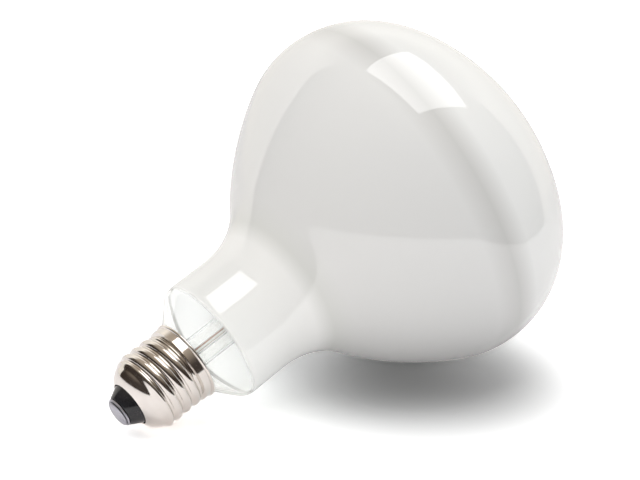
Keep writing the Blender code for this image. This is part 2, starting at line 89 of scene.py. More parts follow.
def draw_arc(centre, angle, steps):
    """Draw the outline on from its last point along an arc. A positive angle turns from up to out."""
    bpy.ops.mesh.spin(steps=steps, angle=-angle, center=(centre[0], 0, centre[1]), axis=(0, 1, 0))


def turn_outline(piece, steps):
    """Spin the outline round the lamp axis, join its seam and poles, and face it outwards."""
    bpy.ops.mesh.select_all(action="SELECT")
    bpy.ops.mesh.spin(steps=steps, angle=2 * math.pi, center=(0, 0, 0), axis=(0, 0, 1))
    bpy.ops.mesh.select_all(action="SELECT")
    bpy.ops.mesh.remove_doubles(threshold=0.000002)
    bpy.ops.mesh.normals_make_consistent(inside=False)
    bpy.ops.object.mode_set(mode="OBJECT")


def apply_modifier(piece, kind, **settings):
    """Add a modifier to a piece and apply it."""
    bpy.ops.object.select_all(action="DESELECT")
    piece.select_set(True)
    bpy.context.view_layer.objects.active = piece
    modifier = piece.modifiers.new(kind.lower(), kind)
    for key, value in settings.items():
        setattr(modifier, key, value)
    bpy.ops.object.modifier_apply(modifier=modifier.name)


def lay_down(piece, sharp=40.0):
    """Lay a piece over with the lamp, its place in its mesh, and smooth it up to an angle."""
    bpy.ops.object.select_all(action="DESELECT")
    piece.select_set(True)
    bpy.context.view_layer.objects.active = piece
    bpy.ops.object.shade_smooth_by_angle(angle=math.radians(sharp))
    piece.rotation_euler = (0, lamp_tilt, 0)
    piece.location = rim_place
    bpy.ops.object.transform_apply(location=True, rotation=True, scale=True)


def new_material(name):
    """A material with its Principled shader and Object coordinates turned to the lamp's own axis."""
    material = bpy.data.materials.new(name)
    material.use_nodes = True
    nodes = material.node_tree.nodes
    place = nodes.new("ShaderNodeTexCoord")
    turned = nodes.new("ShaderNodeMapping")
    turned.name = "lamp"
    turned.vector_type = "TEXTURE"
    turned.inputs["Location"].default_value = rim_place
    turned.inputs["Rotation"].default_value = (0, lamp_tilt, 0)
    material.node_tree.links.new(place.outputs["Object"], turned.inputs["Vector"])
    return material, nodes, material.node_tree.links, nodes["Principled BSDF"]


def vary_colour(material, scale, dark, pale, detail=2):
    """Let a finish wander between two tones. Gives its fine noise and its colour."""
    nodes = material.node_tree.nodes
    links = material.node_tree.links
    noise = nodes.new("ShaderNodeTexNoise")
    noise.inputs["Scale"].default_value = scale
    noise.inputs["Detail"].default_value = detail
    tone = nodes.new("ShaderNodeValToRGB")
    tone.color_ramp.elements[0].color = (*dark, 1)
    tone.color_ramp.elements[1].color = (*pale, 1)
    links.new(nodes["lamp"].outputs["Vector"], noise.inputs["Vector"])
    links.new(noise.outputs["Fac"], tone.inputs["Fac"])
    links.new(tone.outputs["Color"], nodes["Principled BSDF"].inputs["Base Color"])
    return noise.outputs["Fac"], tone.outputs["Color"]


def blend_surfaces(material, share, first, second):
    """Mix two surfaces of a material by the share of the second."""
    mix = material.node_tree.nodes.new("ShaderNodeMixShader")
    for source, socket in zip((share, first, second), mix.inputs):
        material.node_tree.links.new(source, socket)
    return mix.outputs["Shader"]


def change_for_rays(material, surface, changes):
    """Finish a material whose surface is another one for some kinds of light ray."""
    ray = material.node_tree.nodes.new("ShaderNodeLightPath")
    for kind, change in changes:
        surface = blend_surfaces(material, ray.outputs[kind], surface, change)
    output = material.node_tree.nodes["Material Output"]
    material.node_tree.links.new(surface, output.inputs["Surface"])


def let_light_through(material, tint):
    """Glass casts no hard shadow on what is behind it: light from lamps and walls passes, tinted."""
    clear = material.node_tree.nodes.new("ShaderNodeBsdfTransparent")
    clear.inputs["Color"].default_value = tint
    passed = clear.outputs["BSDF"]
    glass = material.node_tree.nodes["Principled BSDF"].outputs["BSDF"]
    change_for_rays(material, glass, (("Is Diffuse Ray", passed), ("Is Shadow Ray", passed)))


stem = start_outline("stem", 0, STEM_HEIGHT)
draw_line(stem, STEM_RADIUS, STEM_HEIGHT)
draw_line(stem, STEM_RADIUS, STEM_FOOT + STEM_WALL + FLARE_SWEEP, cuts=6)
draw_arc((STEM_RADIUS + FLARE_SWEEP, STEM_FOOT + STEM_WALL + FLARE_SWEEP), -math.pi / 2, 10)
draw_line(stem, STEM_RADIUS + FLARE_SWEEP, STEM_FOOT)
draw_arc((STEM_RADIUS + FLARE_SWEEP, STEM_FOOT + STEM_WALL + FLARE_SWEEP), math.pi / 2, 10)
draw_line(stem, STEM_RADIUS - STEM_WALL, STEM_HEIGHT - STEM_WALL)
draw_line(stem, 0, STEM_HEIGHT - STEM_WALL)
turn_outline(stem, 64)

bpy.ops.object.select_all(action="DESELECT")
bpy.ops.mesh.primitive_cube_add(
    size=1, location=(0, 0, STEM_HEIGHT + PRESS_HEIGHT / 2 - STEM_WALL / 4))
press = bpy.context.object
bpy.ops.transform.resize(
    value=(PRESS_WIDTH, PRESS_THICKNESS, PRESS_HEIGHT + STEM_WALL / 2), center_override=press.location)
bpy.ops.object.transform_apply(location=False, rotation=False, scale=True)
press.rotation_euler.z = LEAD_AZIMUTH
apply_modifier(press, "BEVEL", width=PRESS_THICKNESS / 4, segments=4)
apply_modifier(stem, "BOOLEAN", operation="UNION", object=press)
bpy.data.objects.remove(press)
press_middle = STEM_HEIGHT + PRESS_HEIGHT / 2
press_top = STEM_HEIGHT + PRESS_HEIGHT
lead_hole = (LEAD_HOLE, STEM_HEIGHT - 2 * STEM_WALL, press_middle)
support_hole = (SUPPORT_HOLE, press_middle - STEM_WALL / 3, press_top + STEM_WALL)
for side in (-1, 1):
    for radius, low, high in (lead_hole, support_hole):
        bpy.ops.object.select_all(action="DESELECT")
        bpy.ops.mesh.primitive_cylinder_add(vertices=16, radius=radius, depth=high - low, location=(
            side * LEAD_SPREAD * math.cos(LEAD_AZIMUTH),
            side * LEAD_SPREAD * math.sin(LEAD_AZIMUTH),
            (low + high) / 2))
        hole = bpy.context.object
        apply_modifier(stem, "BOOLEAN", operation="DIFFERENCE", object=hole)
        bpy.data.objects.remove(hole)

soft_glass, nodes, links, shader = new_material("soft_glass")
vary_colour(soft_glass, 220, (0.95, 0.955, 0.945), (0.985, 0.985, 0.98))
shader.inputs["Roughness"].default_value = 0.0
shader.inputs["IOR"].default_value = 1.5
shader.inputs["Transmission Weight"].default_value = 1.0
let_light_through(soft_glass, (0.85, 0.86, 0.84, 1))
stem.data.materials.append(soft_glass)
lay_down(stem)
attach(stem, "root")
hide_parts("glass_stem")

# Exhaust tube: the thin soft glass tube inside the stem, by which the bulb was pumped. It was drawn
# off to a closed tip inside the cap.
EXHAUST_RADIUS = 0.00125
EXHAUST_WALL = 0.0004
EXHAUST_TOP = 0.0268
EXHAUST_TIP = -0.0164
exhaust = start_outline("exhaust", EXHAUST_RADIUS, EXHAUST_TOP)
draw_line(exhaust, EXHAUST_RADIUS, EXHAUST_TIP + 2 * EXHAUST_RADIUS)
draw_line(exhaust, EXHAUST_RADIUS / 2, EXHAUST_TIP + EXHAUST_RADIUS / 2)
draw_line(exhaust, 0, EXHAUST_TIP)
draw_line(exhaust, 0, EXHAUST_TIP + 2 * EXHAUST_WALL)
draw_line(exhaust, EXHAUST_RADIUS - EXHAUST_WALL, EXHAUST_TIP + 2 * EXHAUST_RADIUS)
draw_line(exhaust, EXHAUST_RADIUS - EXHAUST_WALL, EXHAUST_TOP)
draw_line(exhaust, EXHAUST_RADIUS, EXHAUST_TOP)
turn_outline(exhaust, 32)
exhaust.data.materials.append(soft_glass)
lay_down(exhaust)
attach(exhaust, "root")
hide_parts("exhaust_tube")

# Leads and support wires: bare copper leads from the press to the cap, and stiff nickel rods from
# the press up to the capsule. They are plain drawn wire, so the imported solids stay.


def finish_solids(names, material):
    """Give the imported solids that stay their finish."""
    for name in names:
        frame["nodes"][name].data.materials.clear()
        frame["nodes"][name].data.materials.append(material)


copper, nodes, links, shader = new_material("bare_copper")
vary_colour(copper, 900, (0.24, 0.12, 0.08), (0.46, 0.27, 0.19))
shader.inputs["Metallic"].default_value = 1.0
shader.inputs["Roughness"].default_value = 0.3
finish_solids(("centre_lead", "side_lead"), copper)

nickel_rod, nodes, links, shader = new_material("nickel_rod")
vary_colour(nickel_rod, 700, (0.48, 0.46, 0.43), (0.70, 0.68, 0.64))
shader.inputs["Metallic"].default_value = 1.0
shader.inputs["Roughness"].default_value = 0.25
finish_solids(("centre_support_wire", "side_support_wire"), nickel_rod)

# Halogen capsule: clear quartz with a pinched foot, molybdenum foils and pins sealed in it, and a
# coiled tungsten filament. The white coat hides all of it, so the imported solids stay.
quartz, nodes, links, shader = new_material("quartz")
vary_colour(quartz, 150, (0.90, 0.90, 0.91), (0.98, 0.98, 0.98))
shader.inputs["Roughness"].default_value = 0.02
shader.inputs["IOR"].default_value = 1.46
shader.inputs["Transmission Weight"].default_value = 1.0
let_light_through(quartz, (0.92, 0.92, 0.92, 1))
finish_solids(("capsule_bulb",), quartz)

dark_metal, nodes, links, shader = new_material("dark_metal")
vary_colour(dark_metal, 1200, (0.28, 0.27, 0.26), (0.46, 0.45, 0.44))
shader.inputs["Metallic"].default_value = 1.0
shader.inputs["Roughness"].default_value = 0.4
finish_solids(("centre_foil", "side_foil", "centre_pin", "side_pin", "filament"), dark_metal)

# Bulb: blown in one piece, from a straight seal through a sloping shoulder, a long neck and a flare
# to the bowl, the rounded edge and the shallow dome. It is glossy clear glass, coated white on its
# inside down to a line just above the shoulder.
GLOBE_RADIUS = 0.0625
GLOBE_HEIGHT = 0.0957
EDGE_RADIUS = 0.0336
DOME_RADIUS = 0.0774
BOWL_RADIUS = 0.118
EDGE_SWEEP = math.radians(28.5)
FLARE_RADIUS = 0.0293
NECK_RADIUS = 0.0212
SHOULDER_RADIUS = 0.005
SHOULDER_SLOPE = math.radians(46.7)
RIM_OPENING = 0.012
SEAL_RADIUS = 0.0107
SEAL_DEPTH = 0.006
BULB_WALL = 0.001
FROST_EDGE = 0.0093
FROST_FADE = 0.0006
COAT_GLOW = 0.9
COAT_PAINTED_LIFT = 1.15
BOWL_GLOW = 0.02
GLOW_START = 0.018
GLOW_END = 0.034
BOWL_BOUNCE = 0.05
WHITE_BOUNCE = 0.95
BOUNCE_START = 0.024
BOUNCE_END = 0.046
NECK_SHADE_BAND = 0.040
NECK_SHADE_BELOW = 0.005
NECK_SHADE_ABOVE = 0.006
COAT_EDGE = 0.1012
EDGE_SHADE_START = 0.012
EDGE_SHADE_BELOW = 0.0045
EDGE_SHADE_ABOVE = 0.0025
COAT_SLANT = 0.152
COAT_TOP = 0.150

edge_centre = (GLOBE_RADIUS - EDGE_RADIUS, GLOBE_HEIGHT)
dome_height = GLOBE_HEIGHT - math.sqrt((DOME_RADIUS - EDGE_RADIUS) ** 2 - edge_centre[0] ** 2)
dome_sweep = math.atan2(edge_centre[0], GLOBE_HEIGHT - dome_height)
bowl_centre = (
    edge_centre[0] - (BOWL_RADIUS - EDGE_RADIUS) * math.cos(EDGE_SWEEP),
    GLOBE_HEIGHT + (BOWL_RADIUS - EDGE_RADIUS) * math.sin(EDGE_SWEEP),
)
flare_reach = BOWL_RADIUS + FLARE_RADIUS
flare_sweep = math.acos((NECK_RADIUS + FLARE_RADIUS - bowl_centre[0]) / flare_reach)
flare_centre = (NECK_RADIUS + FLARE_RADIUS, bowl_centre[1] - flare_reach * math.sin(flare_sweep))
shoulder_foot = NECK_RADIUS - SHOULDER_RADIUS * (1 - math.cos(SHOULDER_SLOPE))
shoulder_centre = (
    NECK_RADIUS - SHOULDER_RADIUS,
    (shoulder_foot - RIM_OPENING) / math.tan(SHOULDER_SLOPE)
    + SHOULDER_RADIUS * math.sin(SHOULDER_SLOPE),
)
cone_foot = (SEAL_RADIUS - RIM_OPENING) / math.tan(SHOULDER_SLOPE)

bulb = start_outline("bulb", 0, dome_height + DOME_RADIUS)
draw_arc((0, dome_height), dome_sweep, 22)
draw_arc(edge_centre, math.pi / 2 - dome_sweep + EDGE_SWEEP, 30)
draw_arc(bowl_centre, flare_sweep - EDGE_SWEEP, 20)
draw_arc(flare_centre, -flare_sweep, 16)
draw_line(bulb, NECK_RADIUS, shoulder_centre[1], cuts=4)
draw_arc(shoulder_centre, SHOULDER_SLOPE, 8)
draw_line(bulb, SEAL_RADIUS, cone_foot, cuts=2)
draw_line(bulb, SEAL_RADIUS, -SEAL_DEPTH)
turn_outline(bulb, 192)


def clear_below(material, frost_edge):
    """1 on the clear glass at the foot of the neck, falling to 0 where the coat begins."""
    nodes = material.node_tree.nodes
    links = material.node_tree.links
    spot = nodes.new("ShaderNodeSeparateXYZ")
    edge = nodes.new("ShaderNodeMapRange")
    edge.inputs["From Min"].default_value = frost_edge - FROST_FADE
    edge.inputs["From Max"].default_value = frost_edge + FROST_FADE
    edge.inputs["To Min"].default_value = 1
    edge.inputs["To Max"].default_value = 0
    links.new(nodes["lamp"].outputs["Vector"], spot.inputs["Vector"])
    links.new(spot.outputs["Z"], edge.inputs["Value"])
    return spot, edge.outputs["Result"]


coated_glass, nodes, links, shader = new_material("coated_glass")
spot, clear_part = clear_below(coated_glass, FROST_EDGE)
slant = nodes.new("ShaderNodeMapRange")
slant.inputs["From Min"].default_value = NECK_SHADE_BAND
slant.inputs["From Max"].default_value = GLOBE_HEIGHT - EDGE_RADIUS / 2
slant.inputs["To Max"].default_value = -COAT_SLANT
askew = nodes.new("ShaderNodeMath")
askew.operation = "MULTIPLY_ADD"
share = nodes.new("ShaderNodeMath")
share.operation = "DIVIDE"
share.inputs[1].default_value = COAT_TOP
links.new(spot.outputs["Z"], slant.inputs["Value"])
links.new(spot.outputs["Y"], askew.inputs[0])
links.new(slant.outputs["Result"], askew.inputs[1])
links.new(spot.outputs["Z"], askew.inputs[2])
links.new(askew.outputs["Value"], share.inputs[0])
# The coat's tone by height along the lamp, with its line slanted across the bowl. The darker band at
# the neck and the one just before the coat's edge are partly the coat's own thinning edge and partly
# painted shade. The lighter neck and dome are partly painted light passing through a thinner coat.
coat = nodes.new("ShaderNodeValToRGB")
coat_tones_and_shade = (
    (FROST_EDGE, (0.78, 0.78, 0.755)),
    (NECK_SHADE_BAND - NECK_SHADE_BELOW, (0.73, 0.72, 0.695)),
    (NECK_SHADE_BAND, (0.585, 0.58, 0.55)),
    (NECK_SHADE_BAND + NECK_SHADE_ABOVE, (0.62, 0.61, 0.59)),
    (COAT_EDGE - EDGE_SHADE_START, (0.60, 0.595, 0.58)),
    (COAT_EDGE - EDGE_SHADE_BELOW, (0.49, 0.485, 0.47)),
    (COAT_EDGE + EDGE_SHADE_ABOVE, (0.66, 0.66, 0.645)),
    (COAT_TOP, (0.66, 0.66, 0.645)),
)
stops = coat.color_ramp.elements
for index, (reach, tone) in enumerate(coat_tones_and_shade):
    stop = stops[index] if index < 2 else stops.new(reach / COAT_TOP)
    stop.position = reach / COAT_TOP
    stop.color = (*tone, 1)
links.new(share.outputs["Value"], coat.inputs["Fac"])
links.new(clear_part, shader.inputs["Transmission Weight"])
links.new(coat.outputs["Color"], shader.inputs["Base Color"])
shader.inputs["Roughness"].default_value = 0.03
shader.inputs["IOR"].default_value = 1.5
shader.inputs["Specular IOR Level"].default_value = 0.8
let_light_through(coated_glass, (0.95, 0.96, 0.94, 1))
bulb.data.materials.append(coated_glass)

white_coat, nodes, links, shader = new_material("white_coat")
spot, clear_part = clear_below(white_coat, FROST_EDGE + BULB_WALL)
links.new(clear_part, shader.inputs["Transmission Weight"])
_, white = vary_colour(white_coat, 400, (0.94, 0.94, 0.96), (0.98, 0.98, 0.99))
shader.inputs["Roughness"].default_value = 0.03
shader.inputs["IOR"].default_value = 1.5
# The coat's glow is lifted above white, so the inside of the neck gives out more light than reaches it:
# painted light.
lifted = nodes.new("ShaderNodeVectorMath")
lifted.operation = "SCALE"
lifted.inputs["Scale"].default_value = COAT_PAINTED_LIFT
glow = nodes.new("ShaderNodeBsdfTranslucent")
links.new(white, lifted.inputs[0])
links.new(lifted.outputs["Vector"], glow.inputs["Color"])
faint_glow = nodes.new("ShaderNodeBsdfTranslucent")
links.new(white, faint_glow.inputs["Color"])
thickening = nodes.new("ShaderNodeMapRange")
thickening.inputs["From Min"].default_value = GLOW_START
thickening.inputs["From Max"].default_value = GLOW_END
thickening.inputs["To Min"].default_value = COAT_GLOW
thickening.inputs["To Max"].default_value = BOWL_GLOW
links.new(spot.outputs["Z"], thickening.inputs["Value"])
coat_share = nodes.new("ShaderNodeMapRange")
coat_share.inputs["To Max"].default_value = 0
links.new(thickening.outputs["Result"], coat_share.inputs["To Min"])
links.new(clear_part, coat_share.inputs["Value"])
# Bounce light finds the coat white at the neck and almost black in the bowl, so the bowl sends little
# light down: painted shade that deepens the bowl's shadow on the table.
painted_bounce_shade = nodes.new("ShaderNodeMapRange")
painted_bounce_shade.inputs["From Min"].default_value = BOUNCE_START
painted_bounce_shade.inputs["From Max"].default_value = BOUNCE_END
painted_bounce_shade.inputs["To Min"].default_value = WHITE_BOUNCE
painted_bounce_shade.inputs["To Max"].default_value = BOWL_BOUNCE
links.new(spot.outputs["Z"], painted_bounce_shade.inputs["Value"])
bounce = nodes.new("ShaderNodeBsdfDiffuse")
links.new(painted_bounce_shade.outputs["Result"], bounce.inputs["Color"])
bare = nodes.new("ShaderNodeBsdfTransparent").outputs["BSDF"]
coat_part = coat_share.outputs["Result"]
coated = blend_surfaces(white_coat, coat_part, shader.outputs["BSDF"], glow.outputs["BSDF"])
uncoated = blend_surfaces(white_coat, clear_part, coated, bare)
bounced = blend_surfaces(white_coat, coat_part, bounce.outputs["BSDF"], faint_glow.outputs["BSDF"])
unlit = blend_surfaces(white_coat, clear_part, bounced, bare)
change_for_rays(white_coat, coated, (("Is Diffuse Ray", unlit), ("Is Shadow Ray", uncoated)))
bulb.data.materials.append(white_coat)
apply_modifier(bulb, "SOLIDIFY", thickness=BULB_WALL, offset=-1, material_offset=1)
lay_down(bulb, 30)
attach(bulb, "root")
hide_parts("glass_envelope")

# Basing cement: the buff ring of baked cement that holds the bulb's seal in the cap. Only its top
# shows, through the gap between the glass and the rim of the cap.
cement, nodes, links, shader = new_material("basing_cement")
vary_colour(cement, 1500, (0.36, 0.30, 0.23), (0.62, 0.55, 0.45), detail=4)
shader.inputs["Roughness"].default_value = 0.85
finish_solids(("basing_cement",), cement)

# Cap shell: thin nickel-plated sheet, drawn to a cup with a rolled bead at its rim. A round thread is
# rolled into it, right-handed, and its end is curled in over the glass insulator.
SHEET = 0.0003
SKIRT_RADIUS = 0.0132
SKIRT_LENGTH = 0.0041
SKIRT_TAPER = 0.0001
BEAD_RADIUS = 0.0005
BEAD_SWEEP = math.radians(150)
BEAD_REACH = 2.2
THREAD_RADIUS = 0.0131
THREAD_PITCH = 0.00363
CREST_ROUND = 0.0016
ROOT_ROUND = 0.00055
THREAD_PHASE = -0.0058
THREAD_FADE = 0.0016
THREAD_END_FADE = 0.0026
THREAD_END = 0.0036
SHELL_LENGTH = 0.0230
SHELL_END_ROUND = 0.0075
SHELL_END_SWEEP = math.radians(67.2)
thread_reach = CREST_ROUND + ROOT_ROUND
thread_depth = thread_reach - math.sqrt(thread_reach ** 2 - (THREAD_PITCH / 2) ** 2)
thread_root = THREAD_RADIUS - thread_depth
thread_top = -SKIRT_LENGTH
thread_foot = THREAD_END - SHELL_LENGTH
end_centre = (
    thread_root - SHELL_END_ROUND,
    SHELL_END_ROUND * math.sin(SHELL_END_SWEEP) - SHELL_LENGTH,
)
mouth_radius = end_centre[0] + SHELL_END_ROUND * math.cos(SHELL_END_SWEEP)


def thread_height(turns):
    """How far the thread stands above its root, a number of turns away from a crest."""
    along = abs(turns - round(turns)) * THREAD_PITCH
    if along < CREST_ROUND / thread_reach * THREAD_PITCH / 2:
        return thread_depth - CREST_ROUND + math.sqrt(CREST_ROUND ** 2 - along ** 2)
    return ROOT_ROUND - math.sqrt(ROOT_ROUND ** 2 - (THREAD_PITCH / 2 - along) ** 2)


shell = start_outline("screw_shell", SKIRT_RADIUS - BEAD_RADIUS / 2, 0)
draw_line(shell, SKIRT_RADIUS, 0)
draw_arc((SKIRT_RADIUS, -BEAD_RADIUS), BEAD_SWEEP, 10)
draw_line(shell, SKIRT_RADIUS - SKIRT_TAPER, -BEAD_REACH * BEAD_RADIUS)
draw_line(shell, SKIRT_RADIUS, thread_top + ROOT_ROUND, cuts=12)
draw_line(shell, thread_root, thread_top)
draw_line(shell, thread_root, end_centre[1], cuts=80)
draw_arc(end_centre, SHELL_END_SWEEP, 48)
turn_outline(shell, 180)
for vertex in shell.data.vertices:
    if thread_foot < vertex.co.z < thread_top:
        radius = math.hypot(vertex.co.x, vertex.co.y)
        crest = THREAD_PHASE + THREAD_PITCH * math.atan2(vertex.co.y, vertex.co.x) / (2 * math.pi)
        inside = min(
            (thread_top - vertex.co.z) / THREAD_FADE, (vertex.co.z - thread_foot) / THREAD_END_FADE)
        fade = min(inside, 1) ** 2 * (3 - 2 * min(inside, 1))
        rise = thread_height((vertex.co.z - crest) / THREAD_PITCH) * fade
        vertex.co.x *= (radius + rise) / radius
        vertex.co.y *= (radius + rise) / radius
apply_modifier(shell, "SOLIDIFY", thickness=SHEET, offset=-1)

nickel, nodes, links, shader = new_material("nickel_plate")
cloud, _ = vary_colour(nickel, 260, (0.72, 0.68, 0.64), (0.82, 0.79, 0.76), detail=3)
rub = nodes.new("ShaderNodeMapRange")
rub.inputs["To Min"].default_value = 0.07
rub.inputs["To Max"].default_value = 0.16
links.new(cloud, rub.inputs["Value"])
links.new(rub.outputs["Result"], shader.inputs["Roughness"])
shader.inputs["Metallic"].default_value = 1.0
shell.data.materials.append(nickel)
lay_down(shell, 60)
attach(shell, "root")
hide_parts("cap_shell")

# Insulator: black glass, poured into the end of the shell and pressed to a blunt cone that carries
# the contact. A hole down its middle lets the lead through.
INSULATOR_TIP_RADIUS = 0.0051
INSULATOR_LENGTH = 0.0037
INSULATOR_ROUND = 0.0002
CONTACT_HOLE_RADIUS = 0.0011
FIT = 0.0003
insulator_foot = -SHELL_LENGTH - INSULATOR_LENGTH
end_inside = SHELL_END_ROUND - SHEET - FIT
end_start = math.asin((end_centre[1] - thread_foot) / end_inside)
mouth_inside = mouth_radius - SHEET * math.cos(SHELL_END_SWEEP) - FIT
insulator = start_outline("insulator", CONTACT_HOLE_RADIUS, thread_foot)
draw_line(insulator, end_centre[0] + end_inside * math.cos(end_start), thread_foot)
draw_arc(end_centre, SHELL_END_SWEEP - end_start, 10)
draw_line(insulator, mouth_inside, -SHELL_LENGTH + SHEET * math.sin(SHELL_END_SWEEP))
draw_line(insulator, mouth_inside, -SHELL_LENGTH - SHEET / 2)
draw_line(insulator, INSULATOR_TIP_RADIUS, insulator_foot)
draw_line(insulator, CONTACT_HOLE_RADIUS, insulator_foot)
draw_line(insulator, CONTACT_HOLE_RADIUS, thread_foot)
turn_outline(insulator, 96)
apply_modifier(
    insulator, "BEVEL", width=INSULATOR_ROUND, segments=3,
    limit_method="ANGLE", angle_limit=math.radians(30))

black_glass, nodes, links, shader = new_material("black_glass")
ripple, _ = vary_colour(black_glass, 300, (0.008, 0.008, 0.009), (0.022, 0.021, 0.024))
bump = nodes.new("ShaderNodeBump")
bump.inputs["Strength"].default_value = 0.15
bump.inputs["Distance"].default_value = 0.0003
links.new(ripple, bump.inputs["Height"])
links.new(bump.outputs["Normal"], shader.inputs["Normal"])
shader.inputs["Roughness"].default_value = 0.12
insulator.data.materials.append(black_glass)
lay_down(insulator, 30)
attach(insulator, "root")
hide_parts("cap_insulator")

# Centre contact: a disc pressed from brass sheet and tinned all over with solder, with a rounded edge
# and a hole that the lead comes through.
CONTACT_RADIUS = 0.0049
CONTACT_THICKNESS = 0.0005
contact_top = insulator_foot - FIT
contact_foot = contact_top - CONTACT_THICKNESS
contact = start_outline("contact_disc", CONTACT_HOLE_RADIUS, contact_top)
draw_line(contact, CONTACT_RADIUS, contact_top)
draw_line(contact, CONTACT_RADIUS, contact_foot + CONTACT_THICKNESS / 2)
draw_arc((CONTACT_RADIUS - CONTACT_THICKNESS / 2, contact_foot + CONTACT_THICKNESS / 2), math.pi / 2, 6)
draw_line(contact, CONTACT_HOLE_RADIUS, contact_foot)
draw_line(contact, CONTACT_HOLE_RADIUS, contact_top)
turn_outline(contact, 96)

solder, nodes, links, shader = new_material("solder")
vary_colour(solder, 500, (0.34, 0.34, 0.38), (0.54, 0.54, 0.59), detail=3)
shader.inputs["Metallic"].default_value = 1.0
shader.inputs["Roughness"].default_value = 0.42
contact.data.materials.append(solder)
lay_down(contact)
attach(contact, "root")
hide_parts("centre_contact")

# Solder: a low drop of tin-lead solder that closes the hole in the contact and holds the centre lead,
# and a small one that joins the side lead to the rim of the shell. Both have gone dull.
SOLDER_RADIUS = 0.0043
SOLDER_HEIGHT = 0.0008
SOLDER_FLAT_RADIUS = 0.001
SOLDER_STEPS = 14
RIM_DROP_RADIUS = 0.0008
RIM_DROP_LENGTH = 1.4
RIM_DROP_WIDTH = 0.75
RIM_DROP_HEIGHT = 0.6
solder_top = contact_foot - FIT
centre_drop = start_outline("centre_drop", 0, solder_top)
for step in range(SOLDER_STEPS + 1):
    angle = math.pi / 2 * step / SOLDER_STEPS
    draw_line(
        centre_drop,
        SOLDER_FLAT_RADIUS + (SOLDER_RADIUS - SOLDER_FLAT_RADIUS) * math.cos(angle),
        solder_top - SOLDER_HEIGHT * math.sin(angle))
draw_line(centre_drop, 0, solder_top - SOLDER_HEIGHT)
turn_outline(centre_drop, 64)

bpy.ops.object.select_all(action="DESELECT")
bpy.ops.mesh.primitive_uv_sphere_add(segments=32, ring_count=16, radius=RIM_DROP_RADIUS)
rim_drop = bpy.context.object
rim_drop.name = "rim_drop"
bpy.ops.transform.resize(
    value=(RIM_DROP_WIDTH, RIM_DROP_LENGTH, RIM_DROP_HEIGHT), center_override=(0, 0, 0))
bpy.ops.transform.translate(
    value=(SKIRT_RADIUS + BEAD_RADIUS, 0, FIT + RIM_DROP_HEIGHT * RIM_DROP_RADIUS))
bpy.ops.object.transform_apply(location=True, rotation=True, scale=True)
rim_drop.rotation_euler.z = LEAD_AZIMUTH
bpy.ops.object.transform_apply(location=True, rotation=True, scale=True)

for piece, name in ((centre_drop, "centre_solder"), (rim_drop, "rim_solder")):
    piece.data.materials.append(solder)
    lay_down(piece, 50)
    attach(piece, "root")
    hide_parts(name)

# Table: a white paper table that ends in front of the lamp, with the floor of the same white beyond
# its edge, which no reflection shows. To the eye the paper is whitest away from the lamp, and a
# painted shadow greys it where the lamp's shade lies deepest, over the shadow that the lamps cast.
TABLE_SIZE = 3.0
TABLE_EDGE = -0.178
FLOOR_DROP = 0.0001
PAINTED_SHADOW_PLACE = (0.022, -0.022)
PAINTED_SHADOW_REACH = 0.075
PAINTED_SHADOW_TONE = 0.65
TABLE_TONE = 1.9
bpy.ops.object.select_all(action="DESELECT")
bpy.ops.mesh.primitive_plane_add(
    size=TABLE_SIZE, location=(0, TABLE_EDGE + TABLE_SIZE / 2, -FLOOR_DROP))
table = bpy.context.object
table.name = "table"
bpy.ops.mesh.primitive_plane_add(
    size=TABLE_SIZE, location=(0, TABLE_EDGE - TABLE_SIZE / 2, -FLOOR_DROP))
front_floor = bpy.context.object
front_floor.name = "front_floor"
front_floor.visible_glossy = False
white_table = bpy.data.materials.new("white_table")
white_table.use_nodes = True
nodes = white_table.node_tree.nodes
links = white_table.node_tree.links
nodes.remove(nodes["Principled BSDF"])
paper = nodes.new("ShaderNodeBsdfDiffuse")
paper.inputs["Color"].default_value = (0.86, 0.87, 0.90, 1)
place = nodes.new("ShaderNodeTexCoord")
apart = nodes.new("ShaderNodeVectorMath")
apart.operation = "DISTANCE"
apart.inputs[1].default_value = (PAINTED_SHADOW_PLACE[0], PAINTED_SHADOW_PLACE[1] - TABLE_EDGE - TABLE_SIZE / 2, 0)
# Painted shadow: to the camera the paper's tone falls from its far white to its darkest at the centre
# of the lamp's shade.
painted_shadow_ramp = nodes.new("ShaderNodeMapRange")
painted_shadow_ramp.interpolation_type = "SMOOTHSTEP"
painted_shadow_ramp.inputs["From Max"].default_value = PAINTED_SHADOW_REACH
painted_shadow_ramp.inputs["To Min"].default_value = PAINTED_SHADOW_TONE
painted_shadow_ramp.inputs["To Max"].default_value = TABLE_TONE
lit = nodes.new("ShaderNodeBsdfDiffuse")
links.new(place.outputs["Object"], apart.inputs[0])
links.new(apart.outputs["Value"], painted_shadow_ramp.inputs["Value"])
links.new(painted_shadow_ramp.outputs["Result"], lit.inputs["Color"])
sheen = nodes.new("ShaderNodeBsdfDiffuse")
sheen.inputs["Color"].default_value = (1.28, 1.24, 1.23, 1)
change_for_rays(white_table, paper.outputs["BSDF"], (
    ("Is Glossy Ray", sheen.outputs["BSDF"]),
    ("Is Camera Ray", lit.outputs["BSDF"]),
    ("Is Transmission Ray", lit.outputs["BSDF"])))
for piece in (table, front_floor):
    piece.data.materials.append(white_table)

